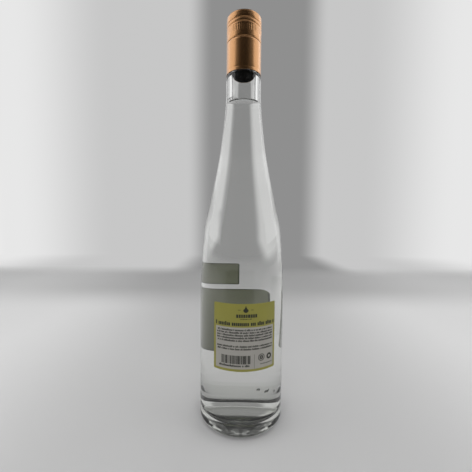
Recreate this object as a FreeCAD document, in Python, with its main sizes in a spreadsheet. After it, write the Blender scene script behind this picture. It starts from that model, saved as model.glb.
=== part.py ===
# Pear brandy bottle, 70 cl: clear glass bottle, spirit, roll-on screw cap and three paper labels.
# Lengths in millimetres and angles in degrees. +Z is up, and the origin is the middle of the base.
# -Y is the side that carries the back label, +Y the side that carries the front labels.
import FreeCAD, Part
import math
import os
import Sketcher
from FreeCAD import Placement, Rotation, Vector

document = FreeCAD.newDocument("PearBrandyBottle")
sheet = document.addObject("Spreadsheet::Sheet", "Sizes")

# Driving sizes: alias, value, what it measures.
DRIVING_SIZES = [
    ("BottleHeight", 350.5, "table to the sealing face of the lip"),
    ("BodyDiameter", 74.4, "outside of the straight body"),
    ("NeckProud", 0.1, "how far the parallel neck stands outside the cap"),
    ("BodyWall", 2.95, "glass thickness of the straight body"),
    ("NeckWall", 5.35, "glass thickness of the parallel neck"),
    ("HeelRadius", 6.0, "outside rounding between body and base"),
    ("BearingWidth", 1.6, "flat ring that the bottle stands on"),
    ("PuntHeight", 6.5, "rise of the push-up under the base"),
    ("FloorThickness", 6.0, "glass at the middle of the base"),
    ("FloorRadius", 100.0, "crown of the inside floor"),
    ("FloorCorner", 8.0, "inside rounding between floor and wall"),
    ("ShoulderStart", 97.0, "height where the body stops being parallel"),
    ("ShoulderBreak", 165.0, "height where the slow taper turns into the shoulder"),
    ("SlopeStart", 184.0, "height where the shoulder becomes straight"),
    ("SlopeEnd", 214.5, "height where the shoulder starts to sweep into the neck"),
    ("SweepEnd", 244.0, "height where the sweep becomes the neck taper"),
    ("TaperEnd", 263.0, "height where the neck taper ends"),
    ("NeckStart", 290.0, "height where the neck becomes parallel"),
    ("EaseRadius", 815.0, "large radius of the slow taper"),
    ("NeckTaper", 6.88, "slope of the neck taper against the axis"),
    ("FillDrop", 70.3, "sealing face of the lip to the surface of the spirit"),
    ("FillClearance", 0.1, "between the spirit and the glass"),
    ("CapDiameter", 30.0, "outside of the cap"),
    ("CapLength", 48.0, "cap from its top to the end of its skirt"),
    ("CapSheet", 0.25, "thickness of the aluminium"),
    ("CapCorner", 2.0, "rounding of the cap's top edge"),
    ("CapRunning", 0.3, "between the cap's sheet and the widest glass inside it"),
    ("SkirtGap", 0.3, "between the end of the skirt and the step of the neck"),
    ("GrooveDepth", 0.4, "depth of the rolled grooves"),
    ("GrooveWidth", 1.7, "mouth of the rolled grooves"),
    ("UpperGrooveDrop", 6.7, "cap top to the upper rolled groove"),
    ("LowerGrooveDrop", 9.8, "cap top to the lower rolled groove"),
    ("BreakGrooveDrop", 21.8, "cap top to the groove with the tear line"),
    ("EndGrooveRise", 2.5, "skirt end to the shallow groove above it"),
    ("EndGrooveDepth", 0.12, "depth of that shallow groove"),
    ("KnurlTopDrop", 11.2, "cap top to the upper end of the knurling"),
    ("KnurlLength", 5.4, "height of the knurled band"),
    ("KnurlDepth", 0.12, "depth of one flute"),
    ("KnurlMouth", 0.9, "width of one flute at the outside"),
    ("KnurlCount", 60, "flutes round the cap"),
    ("TearSlotHeight", 0.3, "height of the cuts in the tear line"),
    ("BridgeCount", 8, "bridges that hold the skirt to the cap"),
    ("BridgeWidth", 1.2, "width of one bridge"),
    ("ThreadRoom", 1.65, "from the cap's sheet in to the ground of the thread"),
    ("RecessRoom", 1.15, "from the cap's sheet in to the glass below the locking ring"),
    ("LockingRingDrop", 24.5, "sealing face to the middle of the locking ring"),
    ("LockingRingLength", 2.4, "flat of the locking ring"),
    ("SeatLength", 4.0, "height of the land above the neck's step"),
    ("FinishSlope", 1.0, "height of the slopes between the steps of the finish"),
    ("LipRadius", 1.5, "outside rounding of the lip"),
    ("MouthRadius", 0.8, "inside rounding of the lip"),
    ("PaperThickness", 0.15, "label paper"),
    ("GlueThickness", 0.05, "glue film under a label"),
    ("CutOver", 1.0, "how far cuts run past what they cut"),
    ("LabelBlank", 2.0, "extra thickness of a label until its corners are round"),
    ("BackLabelBottom", 57.5, "lower edge of the back label"),
    ("BackLabelHeight", 54.8, "height of the back label"),
    ("BackLabelWidth", 54.2, "width of the back label round the body"),
    ("BackLabelTurn", -85.7, "direction of the back label's middle, from +X"),
    ("BackLabelCorner", 1.0, "corners of the back label"),
    ("FrontLabelBottom", 50.0, "lower edge of the main front label"),
    ("FrontLabelHeight", 60.7, "height of the main front label"),
    ("FrontLabelWidth", 74.4, "width of the main front label round the body"),
    ("FrontLabelTurn", 123.6, "direction of the middle of both front labels, from +X"),
    ("FrontLabelCorner", 5.0, "corners of the main front label"),
    ("StripGap", 4.4, "between the main front label and the strip above it"),
    ("StripHeight", 20.0, "height of the strip label"),
    ("StripWidth", 42.5, "width of the strip label round the body"),
    ("StripCorner", 1.0, "corners of the strip label"),
]

for row, (alias, value, meaning) in enumerate(DRIVING_SIZES, start=1):
    sheet.set(f"A{row}", alias)
    sheet.set(f"B{row}", str(value))
    sheet.set(f"C{row}", meaning)
    sheet.setAlias(f"B{row}", alias)
document.recompute()

START, END, CENTRE = 1, 2, 3
AXIS, ORIGIN = -2, -1
STEEPEST_LEAN = 1.4
LEAN_TRIES = 60
SAME_PLACE = 0.01


def size(alias):
    """The present value of one driving size."""
    return float(sheet.get(alias))


def new_body(label):
    """An empty body at the common origin."""
    body = document.addObject("PartDesign::Body", label)
    body.Label = label
    body.Placement = Placement(Vector(0, 0, 0), Rotation())
    return body


def new_sketch(body, name, role, lift=None, turn=None):
    """A sketch on an origin plane of its body, lifted off it or turned about the bottle's axis."""
    sketch = body.newObject("Sketcher::SketchObject", name)
    plane = [feature for feature in body.Origin.OriginFeatures if feature.Role == role][0]
    sketch.AttachmentSupport = [(plane, "")]
    sketch.MapMode = "FlatFace"
    if lift is not None:
        sketch.setExpression("AttachmentOffset.Base.z", lift)
    if turn is not None:
        sketch.AttachmentOffset = Placement(Vector(0, 0, 0), Rotation(Vector(0, 1, 0), size(turn)))
        sketch.setExpression("AttachmentOffset.Rotation.Angle", f"Sizes.{turn} * 1 deg")
    return sketch


def value(expression):
    """The present value of an expression of the sizes."""
    return float(sheet.evalExpression(expression))


def bind(sketch, kind, *items, to):
    """Adds one dimension to a sketch and binds it to an expression of the sizes."""
    amount = math.radians(value(to)) if kind == "Angle" else value(to)
    index = sketch.addConstraint(Sketcher.Constraint(kind, *items, amount))
    sketch.setExpression(f"Constraints[{index}]", to)


def relate(sketch, kind, *items):
    """Adds one geometric constraint, such as Tangent or Coincident."""
    sketch.addConstraint(Sketcher.Constraint(kind, *items))


def line(sketch, first, second):
    """A straight line, returned with its first and its second end."""
    index = sketch.addGeometry(Part.LineSegment(Vector(*first, 0), Vector(*second, 0)), False)
    return index, START, END


def arc(sketch, first, second, lean, next_lean):
    """An arc between two points of a meridian whose wall leans inwards by the two given angles.

    The wall's outward normal at a lean a is (cos a, sin a), so the radius is the rise over the
    change of sin a. It is negative where the wall is hollow, and the arc then runs downwards.
    """
    radius = (second[1] - first[1]) / (math.sin(next_lean) - math.sin(lean))
    centre = Vector(first[0] - radius * math.cos(lean), first[1] - radius * math.sin(lean), 0)
    circle = Part.Circle(centre, Vector(0, 0, 1), abs(radius))
    if radius > 0:
        return sketch.addGeometry(Part.ArcOfCircle(circle, lean, next_lean), False), START, END
    shape = Part.ArcOfCircle(circle, next_lean + math.pi, lean + math.pi)
    return sketch.addGeometry(shape, False), END, START


def place(sketch, geometry, vertex, radius, height):
    """Fixes a point of the sketch at a radius and a height, each an expression or None."""
    if radius is not None:
        bind(sketch, "DistanceX", ORIGIN, START, geometry, vertex, to=radius)
    if height is not None:
        bind(sketch, "DistanceY", ORIGIN, START, geometry, vertex, to=height)


def draw_corners(sketch, corners, after=None):
    """Straight lines through corners given as (radius, height) expressions, each corner bound.

    The first corner takes its place from the point after, where there is one. Returns the last.
    """
    points = [(value(radius), value(height)) for radius, height in corners]
    lines = [line(sketch, first, second)[0] for first, second in zip(points, points[1:])]
    for edge, corner in zip(lines, corners[1:]):
        place(sketch, edge, END, *corner)
    for edge, next_edge in zip(lines, lines[1:]):
        relate(sketch, "Coincident", edge, END, next_edge, START)
    if after is None:
        place(sketch, lines[0], START, *corners[0])
    else:
        relate(sketch, "Coincident", *after, lines[0], START)
    return lines[-1], END


def draw_loop(sketch, corners):
    """A closed outline of straight lines through bound corners."""
    first = sketch.GeometryCount
    last = draw_corners(sketch, corners)
    points = [(value(radius), value(height)) for radius, height in (corners[-1], corners[0])]
    closing = line(sketch, *points)[0]
    relate(sketch, "Coincident", *last, closing, START)
    relate(sketch, "Coincident", closing, END, first, START)


def wall_leans(wide, narrow, heights):
    """The wall's lean against the axis at each station, found from the radius it has to lose.

    An arc between the leans a and b moves inwards by its rise times tan((a + b) / 2).
    """
    ease = math.asin((heights[1] - heights[0]) / size("EaseRadius"))
    taper = math.radians(size("NeckTaper"))
    low, high = 0.0, STEEPEST_LEAN
    for _ in range(LEAN_TRIES):
        slope = (low + high) / 2
        leans = [0.0, ease, slope, slope, taper, taper, 0.0]
        inward = 0.0
        for index in range(len(heights) - 1):
            rise = heights[index + 1] - heights[index]
            inward += rise * math.tan((leans[index] + leans[index + 1]) / 2)
        if inward < wide - narrow:
            low = slope
        else:
            high = slope
    return leans


STATIONS = ["ShoulderStart", "ShoulderBreak", "SlopeStart", "SlopeEnd", "SweepEnd", "TaperEnd", "NeckStart"]


def draw_wall(sketch, wide, narrow, bottom, top):
    """Body, slow taper, shoulder, sweep, neck taper and parallel neck, tangent all the way.

    wide, narrow and top are expressions; bottom is the present height of the body's lower end.
    Returns the lower end of the body line and the upper end of the neck line.
    """
    heights = [size(station) for station in STATIONS]
    leans = wall_leans(value(wide), value(narrow), heights)
    point = (value(wide), heights[0])
    chain = [line(sketch, (point[0], bottom), point)]
    for index in range(len(heights) - 1):
        rise = heights[index + 1] - heights[index]
        lean, next_lean = leans[index], leans[index + 1]
        next_point = (point[0] - rise * math.tan((lean + next_lean) / 2), heights[index + 1])
        if lean == next_lean:
            chain.append(line(sketch, point, next_point))
        else:
            chain.append(arc(sketch, point, next_point, lean, next_lean))
        point = next_point
    chain.append(line(sketch, point, (value(narrow), value(top))))
    for (edge, _, upper), (next_edge, lower, _), station in zip(chain, chain[1:], STATIONS):
        relate(sketch, "Tangent", edge, upper, next_edge, lower)
        place(sketch, edge, upper, None, f"Sizes.{station}")
    body_line, ease_arc, taper_line, neck_line = chain[0][0], chain[1][0], chain[5][0], chain[7][0]
    relate(sketch, "Vertical", body_line)
    relate(sketch, "Vertical", neck_line)
    bind(sketch, "Radius", ease_arc, to="Sizes.EaseRadius")
    bind(sketch, "Angle", taper_line, to="(90 + Sizes.NeckTaper) * 1 deg")
    place(sketch, body_line, START, wide, None)
    place(sketch, neck_line, END, narrow, top)
    return (body_line, START), (neck_line, END)


def revolve(body, sketch, name, kind="PartDesign::Revolution", angle=None):
    """Turns a sketch about the bottle's axis: all round, or through an angle centred on it."""
    if sketch.solve() != 0:
        raise RuntimeError(f"{sketch.Name} doesn't solve")
    feature = body.newObject(kind, name)
    feature.Profile = sketch
    feature.ReferenceAxis = (sketch, ["V_Axis"])
    feature.Angle = 360.0
    if angle is not None:
        feature.Midplane = True
        feature.setExpression("Angle", angle)
    document.recompute()
    return feature


def repeat_round(body, feature, name, axis, count):
    """Repeats a cut evenly round the bottle's axis."""
    repeat = body.newObject("PartDesign::PolarPattern", name)
    repeat.Originals = [feature]
    repeat.Axis = (feature.Profile[0], [axis])
    repeat.Angle = 360.0
    repeat.setExpression("Occurrences", count)
    body.Tip = repeat
    document.recompute()
    return repeat


def ring_edges(feature, radius, height):
    """The circular edges of a feature at a radius and a height, both expressions."""
    found = []
    for index, edge in enumerate(feature.Shape.Edges, start=1):
        box = edge.BoundBox
        offsets = [
            box.XMax - value(radius),
            box.XMin + value(radius),
            box.ZMin - value(height),
            box.ZMax - value(height),
        ]
        if max(abs(offset) for offset in offsets) < SAME_PLACE:
            found.append(f"Edge{index}")
    return found


def round_off(body, feature, name, edges, radius):
    """Rounds some edges of a feature by a radius that the sizes set."""
    if not edges:
        raise RuntimeError(f"{name} finds no edge")
    fillet = body.newObject("PartDesign::Fillet", name)
    fillet.Base = (feature, edges)
    fillet.setExpression("Radius", radius)
    body.Tip = fillet
    document.recompute()
    return fillet


# Places that the pieces share, worked out from the driving sizes.
BODY_RADIUS = "Sizes.BodyDiameter / 2"
CAP_RADIUS = "Sizes.CapDiameter / 2"
CAP_INSIDE = f"({CAP_RADIUS} - Sizes.CapSheet)"
NECK_RADIUS = f"({CAP_RADIUS} + Sizes.NeckProud)"
BORE_RADIUS = f"({NECK_RADIUS} - Sizes.NeckWall)"
THREAD_GROUND = f"({CAP_INSIDE} - Sizes.ThreadRoom)"
FILL_HEIGHT = "(Sizes.BottleHeight - Sizes.FillDrop)"
CAP_TOP = "(Sizes.BottleHeight + Sizes.CapSheet)"
SKIRT_END = f"({CAP_TOP} - Sizes.CapLength)"
STEP_HEIGHT = f"({SKIRT_END} - Sizes.SkirtGap)"
NECK_TOP = f"({STEP_HEIGHT} - Sizes.FinishSlope)"
FLOOR_HEIGHT = "Sizes.PuntHeight + Sizes.FloorThickness"


def finish_corners():
    """The glass under the cap: step, seat, recess, locking ring, thread ground, lip and axis."""
    seat = f"{CAP_INSIDE} - Sizes.CapRunning"
    recess = f"{CAP_INSIDE} - Sizes.RecessRoom"
    ring_middle = "Sizes.BottleHeight - Sizes.LockingRingDrop"
    ring_low = f"{ring_middle} - Sizes.LockingRingLength / 2"
    ring_high = f"{ring_middle} + Sizes.LockingRingLength / 2"
    seat_top = f"{STEP_HEIGHT} + Sizes.SeatLength"
    return [
        (NECK_RADIUS, NECK_TOP),
        (seat, STEP_HEIGHT),
        (seat, seat_top),
        (recess, f"{seat_top} + Sizes.FinishSlope"),
        (recess, f"{ring_low} - Sizes.FinishSlope"),
        (seat, ring_low),
        (seat, ring_high),
        (THREAD_GROUND, f"{ring_high} + Sizes.FinishSlope"),
        (THREAD_GROUND, "Sizes.BottleHeight"),
        ("0", "Sizes.BottleHeight"),
        ("0", "Sizes.PuntHeight"),
    ]


def draw_glass(sketch):
    """The outside of the glass: push-up, bearing ring, heel, wall and finish."""
    ring_out = f"{BODY_RADIUS} - Sizes.HeelRadius"
    ring_in = f"{ring_out} - Sizes.BearingWidth"
    punt, heel, reach = size("PuntHeight"), size("HeelRadius"), value(ring_in)
    punt_radius = (reach ** 2 + punt ** 2) / (2 * punt)
    punt_circle = Part.Circle(Vector(0, punt - punt_radius, 0), Vector(0, 0, 1), punt_radius)
    edge_angle = math.asin((punt_radius - punt) / punt_radius)
    heel_circle = Part.Circle(Vector(value(ring_out), heel, 0), Vector(0, 0, 1), heel)
    dome = sketch.addGeometry(Part.ArcOfCircle(punt_circle, edge_angle, math.pi / 2), False)
    ring = line(sketch, (reach, 0), (value(ring_out), 0))[0]
    corner = sketch.addGeometry(Part.ArcOfCircle(heel_circle, 1.5 * math.pi, 2 * math.pi), False)
    body_foot, neck_end = draw_wall(sketch, BODY_RADIUS, NECK_RADIUS, heel, NECK_TOP)
    last = draw_corners(sketch, finish_corners(), after=neck_end)
    relate(sketch, "PointOnObject", dome, CENTRE, AXIS)
    relate(sketch, "Coincident", *last, dome, END)
    relate(sketch, "Coincident", dome, START, ring, START)
    relate(sketch, "PointOnObject", ring, START, ORIGIN)
    relate(sketch, "Horizontal", ring)
    relate(sketch, "Tangent", ring, END, corner, START)
    relate(sketch, "Tangent", corner, END, *body_foot)
    bind(sketch, "Radius", corner, to="Sizes.HeelRadius")
    place(sketch, ring, START, ring_in, None)


def draw_cavity(sketch, clearance, top):
    """The inside of the glass, drawn in by a clearance: crowned floor, corner, wall and bore."""
    wide = f"{BODY_RADIUS} - Sizes.BodyWall - {clearance}"
    narrow = f"{BORE_RADIUS} - {clearance}"
    floor = f"{FLOOR_HEIGHT} + {clearance}"
    crown_radius = f"Sizes.FloorRadius + {clearance}"
    corner_radius = f"Sizes.FloorCorner - {clearance}"
    crown, corner = value(crown_radius), value(corner_radius)
    crown_height = value(floor) - crown
    corner_reach = value(wide) - corner
    corner_height = crown_height + math.sqrt((crown + corner) ** 2 - corner_reach ** 2)
    meeting = math.atan2(corner_height - crown_height, corner_reach)
    crown_circle = Part.Circle(Vector(0, crown_height, 0), Vector(0, 0, 1), crown)
    corner_circle = Part.Circle(Vector(corner_reach, corner_height, 0), Vector(0, 0, 1), corner)
    crown_arc = sketch.addGeometry(Part.ArcOfCircle(crown_circle, meeting, math.pi / 2), False)
    corner_arc = sketch.addGeometry(Part.ArcOfCircle(corner_circle, meeting + math.pi, 2 * math.pi), False)
    wall_foot, bore_end = draw_wall(sketch, wide, narrow, corner_height, top)
    last = draw_corners(sketch, [(narrow, top), ("0", top), ("0", floor)], after=bore_end)
    relate(sketch, "PointOnObject", crown_arc, CENTRE, AXIS)
    relate(sketch, "Coincident", *last, crown_arc, END)
    relate(sketch, "Tangent", crown_arc, START, corner_arc, START)
    relate(sketch, "Tangent", corner_arc, END, *wall_foot)
    bind(sketch, "Radius", crown_arc, to=crown_radius)
    bind(sketch, "Radius", corner_arc, to=corner_radius)


def make_bottle():
    """The glass: a turned outside form with a turned cavity, and a rounded lip."""
    bottle = new_body("bottle")
    section = new_sketch(bottle, "GlassSection", "XZ_Plane")
    draw_glass(section)
    revolve(bottle, section, "GlassForm")
    cavity_section = new_sketch(bottle, "CavitySection", "XZ_Plane")
    draw_cavity(cavity_section, "0", "Sizes.BottleHeight + Sizes.CutOver")
    cavity = revolve(bottle, cavity_section, "Cavity", "PartDesign::Groove")
    lip_edges = ring_edges(cavity, THREAD_GROUND, "Sizes.BottleHeight")
    lip = round_off(bottle, cavity, "Lip", lip_edges, "Sizes.LipRadius")
    mouth_edges = ring_edges(lip, BORE_RADIUS, "Sizes.BottleHeight")
    round_off(bottle, lip, "Mouth", mouth_edges, "Sizes.MouthRadius")
    return bottle


def make_spirit():
    """The spirit: the cavity less its clearance, cut off level at the fill height."""
    spirit = new_body("spirit")
    section = new_sketch(spirit, "SpiritSection", "XZ_Plane")
    draw_cavity(section, "Sizes.FillClearance", "Sizes.BottleHeight")
    revolve(spirit, section, "FilledCavity")
    cut = new_sketch(spirit, "HeadspaceSection", "XZ_Plane")
    above = "Sizes.BottleHeight + Sizes.CutOver"
    draw_loop(cut, [
        ("0", FILL_HEIGHT),
        (BODY_RADIUS, FILL_HEIGHT),
        (BODY_RADIUS, above),
        ("0", above),
    ])
    revolve(spirit, cut, "Headspace", "PartDesign::Groove")
    return spirit


def rolled_groove(radius, middle, depth, upwards):
    """The three corners of a groove rolled into the sheet at a radius, from top to bottom."""
    half = "Sizes.GrooveWidth / 2"
    corners = [
        (radius, f"{middle} + {half}"),
        (f"{radius} - {depth}", middle),
        (radius, f"{middle} - {half}"),
    ]
    return corners[::-1] if upwards else corners


def make_cap():
    """The roll-on cap: one aluminium sheet with rolled grooves, a knurled band and a tear line."""
    cap = new_body("screw_cap")
    grooves = [
        (f"{CAP_TOP} - Sizes.UpperGrooveDrop", "Sizes.GrooveDepth"),
        (f"{CAP_TOP} - Sizes.LowerGrooveDrop", "Sizes.GrooveDepth"),
        (f"{CAP_TOP} - Sizes.BreakGrooveDrop", "Sizes.GrooveDepth"),
        (f"{SKIRT_END} + Sizes.EndGrooveRise", "Sizes.EndGrooveDepth"),
    ]
    knurl_top = f"{CAP_TOP} - Sizes.KnurlTopDrop"
    knurl_low = f"{knurl_top} - Sizes.KnurlLength"
    knurl_inside = f"{CAP_INSIDE} - Sizes.KnurlDepth"
    outside = [("0", CAP_TOP), (CAP_RADIUS, CAP_TOP)]
    for middle, depth in grooves:
        outside += rolled_groove(CAP_RADIUS, middle, depth, upwards=False)
    inside = [(CAP_RADIUS, SKIRT_END), (CAP_INSIDE, SKIRT_END)]
    for middle, depth in grooves[:1:-1]:
        inside += rolled_groove(CAP_INSIDE, middle, depth, upwards=True)
    inside += [
        (CAP_INSIDE, f"{knurl_low} - Sizes.KnurlDepth"),
        (knurl_inside, knurl_low),
        (knurl_inside, knurl_top),
        (CAP_INSIDE, f"{knurl_top} + Sizes.KnurlDepth"),
    ]
    for middle, depth in grooves[1::-1]:
        inside += rolled_groove(CAP_INSIDE, middle, depth, upwards=True)
    inside += [(CAP_INSIDE, "Sizes.BottleHeight"), ("0", "Sizes.BottleHeight")]
    section = new_sketch(cap, "CapSection", "XZ_Plane")
    draw_loop(section, outside + inside)
    form = revolve(cap, section, "CapForm")
    outer = round_off(cap, form, "CapCorner", ring_edges(form, CAP_RADIUS, CAP_TOP), "Sizes.CapCorner")
    inner_edges = ring_edges(outer, CAP_INSIDE, "Sizes.BottleHeight")
    round_off(cap, outer, "CapInsideCorner", inner_edges, "Sizes.CapCorner - Sizes.CapSheet")

    flute_section = new_sketch(cap, "FluteSection", "XY_Plane", lift=knurl_low)
    mouth = "Sizes.KnurlMouth"
    draw_loop(flute_section, [
        (f"{CAP_RADIUS} - Sizes.KnurlDepth", "0"),
        (f"{CAP_RADIUS} + Sizes.KnurlDepth", mouth),
        (f"{CAP_RADIUS} + Sizes.KnurlDepth", f"-{mouth}"),
    ])
    flute = cap.newObject("PartDesign::Pocket", "Flute")
    flute.Profile = flute_section
    flute.setExpression("Length", "Sizes.KnurlLength")
    flute.Reversed = True
    document.recompute()
    repeat_round(cap, flute, "Knurling", "N_Axis", "Sizes.KnurlCount")

    slot_section = new_sketch(cap, "TearSlotSection", "XZ_Plane")
    tear_line = grooves[2][0]
    slot_inside = f"{CAP_INSIDE} - Sizes.GrooveDepth - Sizes.CutOver"
    slot_outside = f"{CAP_RADIUS} + Sizes.CutOver"
    draw_loop(slot_section, [
        (slot_inside, f"{tear_line} - Sizes.TearSlotHeight / 2"),
        (slot_outside, f"{tear_line} - Sizes.TearSlotHeight / 2"),
        (slot_outside, f"{tear_line} + Sizes.TearSlotHeight / 2"),
        (slot_inside, f"{tear_line} + Sizes.TearSlotHeight / 2"),
    ])
    bridge_angle = "Sizes.BridgeWidth / (pi * Sizes.CapDiameter) * 360"
    slot_angle = f"(360 / Sizes.BridgeCount - {bridge_angle}) * 1 deg"
    slot = revolve(cap, slot_section, "TearSlot", "PartDesign::Groove", slot_angle)
    repeat_round(cap, slot, "TearLine", "V_Axis", "Sizes.BridgeCount")
    return cap


def draw_label_side(sketch, standoff, bottom, top):
    """One face of a label, parallel to the glass at a standoff: straight, then along the taper."""
    start = "Sizes.ShoulderStart"
    radius = f"{BODY_RADIUS} + {standoff}"
    bend = value(f"Sizes.EaseRadius + {standoff}")
    centre = Vector(value(radius) - bend, value(start), 0)
    circle = Part.Circle(centre, Vector(0, 0, 1), bend)
    edges = []
    if value(bottom) < value(start):
        straight_top = min(value(top), value(start))
        straight = line(sketch, (value(radius), value(bottom)), (value(radius), straight_top))
        relate(sketch, "Vertical", straight[0])
        place(sketch, straight[0], START, radius, bottom)
        edges.append(straight)
    if value(top) > value(start):
        low = max(0.0, math.asin((value(bottom) - value(start)) / bend))
        high = math.asin((value(top) - value(start)) / bend)
        bent = sketch.addGeometry(Part.ArcOfCircle(circle, low, high), False), START, END
        bind(sketch, "Radius", bent[0], to=f"Sizes.EaseRadius + {standoff}")
        if edges:
            place(sketch, edges[0][0], END, None, start)
            relate(sketch, "Tangent", edges[0][0], END, bent[0], START)
        else:
            bind(sketch, "DistanceX", bent[0], CENTRE, ORIGIN, START, to=f"Sizes.EaseRadius - {BODY_RADIUS}")
            place(sketch, bent[0], CENTRE, None, start)
            place(sketch, bent[0], START, None, bottom)
        edges.append(bent)
    place(sketch, edges[-1][0], END, None, top)
    return (edges[0][0], START), (edges[-1][0], END)


def draw_label_band(sketch, inside, outside, bottom, top):
    """The section of a band over the glass, between two standoffs and two heights."""
    inner_low, inner_high = draw_label_side(sketch, inside, bottom, top)
    outer_low, outer_high = draw_label_side(sketch, outside, bottom, top)
    for inner, outer in ((inner_low, outer_low), (inner_high, outer_high)):
        ends = [sketch.getPoint(*inner), sketch.getPoint(*outer)]
        edge = line(sketch, *((point.x, point.y) for point in ends))[0]
        relate(sketch, "Coincident", edge, START, *inner)
        relate(sketch, "Coincident", edge, END, *outer)


def make_label(label, bottom, height, width, turn, corner):
    """A paper label: a thick blank gets its round corners and is turned down to the paper."""
    body = new_body(label)
    top = f"({bottom}) + {height}"
    paper = "Sizes.GlueThickness + Sizes.PaperThickness"
    blank = f"{paper} + Sizes.LabelBlank"
    blank_section = new_sketch(body, f"{label}_blank_section", "XZ_Plane", turn=turn)
    draw_label_band(blank_section, "Sizes.GlueThickness", blank, bottom, top)
    angle = f"{width} / (pi * Sizes.BodyDiameter) * 360 deg"
    band = revolve(body, blank_section, f"{label}_blank", angle=angle)
    corners = []
    for index, edge in enumerate(band.Shape.Edges, start=1):
        if abs(edge.Length - value(f"{blank} - Sizes.GlueThickness")) < value("Sizes.PaperThickness"):
            corners.append(f"Edge{index}")
    round_off(body, band, f"{label}_corners", corners, corner)
    trim_section = new_sketch(body, f"{label}_trim_section", "XZ_Plane")
    over = "Sizes.CutOver"
    draw_label_band(trim_section, paper, f"{blank} + {over}", f"{bottom} - {over}", f"{top} + {over}")
    revolve(body, trim_section, f"{label}_paper", "PartDesign::Groove")
    return body


def make_labels():
    """The back label, and the two front labels one above the other."""
    front_top = "Sizes.FrontLabelBottom + Sizes.FrontLabelHeight"
    return [
        make_label("back_label", "Sizes.BackLabelBottom", "Sizes.BackLabelHeight",
                   "Sizes.BackLabelWidth", "BackLabelTurn", "Sizes.BackLabelCorner"),
        make_label("front_label", "Sizes.FrontLabelBottom", "Sizes.FrontLabelHeight",
                   "Sizes.FrontLabelWidth", "FrontLabelTurn", "Sizes.FrontLabelCorner"),
        make_label("strip_label", f"{front_top} + Sizes.StripGap", "Sizes.StripHeight",
                   "Sizes.StripWidth", "FrontLabelTurn", "Sizes.StripCorner"),
    ]


pieces = [make_bottle(), make_spirit(), make_cap()] + make_labels()
document.recompute()

for feature in document.Objects:
    if "Invalid" in feature.State or "Error" in feature.State:
        raise RuntimeError(f"{feature.Name} failed")
for piece in pieces:
    if piece.Shape.isNull() or not piece.Shape.isValid() or len(piece.Shape.Solids) != 1:
        raise RuntimeError(f"{piece.Label} isn't one valid solid")

os.makedirs("parts", exist_ok=True)
for piece in pieces:
    piece.Shape.exportStep(f"parts/{piece.Label}.step")
    print(piece.Label, "volume", round(piece.Shape.Volume, 1), "mm3")
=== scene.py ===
import bpy
import numpy as np
from mathutils import Matrix, Vector


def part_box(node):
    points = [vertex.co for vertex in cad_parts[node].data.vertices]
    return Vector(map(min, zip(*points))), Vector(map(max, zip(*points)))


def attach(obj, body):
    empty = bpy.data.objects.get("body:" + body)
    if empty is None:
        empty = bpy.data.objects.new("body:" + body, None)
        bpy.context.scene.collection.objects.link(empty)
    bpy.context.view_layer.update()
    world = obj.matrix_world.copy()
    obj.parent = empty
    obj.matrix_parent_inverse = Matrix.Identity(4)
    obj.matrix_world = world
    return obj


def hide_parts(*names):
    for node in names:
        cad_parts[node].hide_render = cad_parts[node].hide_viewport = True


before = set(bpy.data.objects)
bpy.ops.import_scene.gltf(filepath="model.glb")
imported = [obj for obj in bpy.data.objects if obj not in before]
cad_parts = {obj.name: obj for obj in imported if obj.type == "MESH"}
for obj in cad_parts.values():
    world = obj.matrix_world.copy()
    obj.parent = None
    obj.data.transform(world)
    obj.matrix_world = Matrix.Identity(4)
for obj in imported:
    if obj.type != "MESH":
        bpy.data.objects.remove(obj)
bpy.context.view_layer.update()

# Camera. It stands close to the bottle on the side of the back label, level with its shoulder, and looks
# a little down with a wide lens. The neck and the cap are seen from below.
camera_data = bpy.data.cameras.new("camera")
camera_data.lens = 22.53
camera_data.sensor_width = 36.0
camera = bpy.data.objects.new("camera", camera_data)
camera_place = (-0.00553, -0.26564, 0.17932)
look_down = np.radians(3.37)
camera_roll = np.radians(0.49)
camera.matrix_world = (
    Matrix.Translation(camera_place)
    @ Matrix.Rotation(np.pi / 2 - look_down, 4, "X")
    @ Matrix.Rotation(camera_roll, 4, "Z")
)
bpy.context.scene.collection.objects.link(camera)
bpy.context.scene.camera = camera

# Studio. A pale matt floor meets a pale sweep that stands round the back and the sides of the bottle.
# A tall soft lamp and its narrow wing stand at each side, and a thin strip above lights the cap's
# grooves. A fill over the bottle and one in front light it and leave no gloss.
scene = bpy.context.scene
scene.view_settings.view_transform = "Standard"
scene.cycles.max_bounces = 24
scene.cycles.transmission_bounces = 24
scene.cycles.transparent_max_bounces = 32


def mesh_object(name, points, faces, materials, slots=None, sharp=None):
    """A mesh object at the origin from points in metres, smooth except at edges sharper than sharp."""
    mesh = bpy.data.meshes.new(name)
    mesh.from_pydata(np.asarray(points, float).reshape(-1, 3), [], faces)
    for material in materials:
        mesh.materials.append(material)
    if slots is not None:
        mesh.polygons.foreach_set("material_index", np.asarray(slots, np.int32))
    mesh.shade_smooth()
    if sharp is not None:
        mesh.set_sharp_from_angle(angle=np.radians(sharp))
    mesh.update()
    piece = bpy.data.objects.new(name, mesh)
    bpy.context.scene.collection.objects.link(piece)
    return piece


def grid_faces(rows, columns, closed=False):
    """The quads of a grid of points kept row by row. A closed grid joins its last column to its first."""
    row, column = np.mgrid[0 : rows - 1, 0 : columns - (not closed)]
    row, column = row.ravel(), column.ravel()
    beside = (column + 1) % columns
    low, high = row * columns, (row + 1) * columns
    return np.stack([low + column, low + beside, high + beside, high + column], axis=1)


def new_material(name):
    """A material with an empty node tree: its nodes, its links and its output."""
    material = bpy.data.materials.new(name)
    material.use_nodes = True
    nodes, links = material.node_tree.nodes, material.node_tree.links
    nodes.clear()
    return material, nodes, links, nodes.new("ShaderNodeOutputMaterial")


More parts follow.
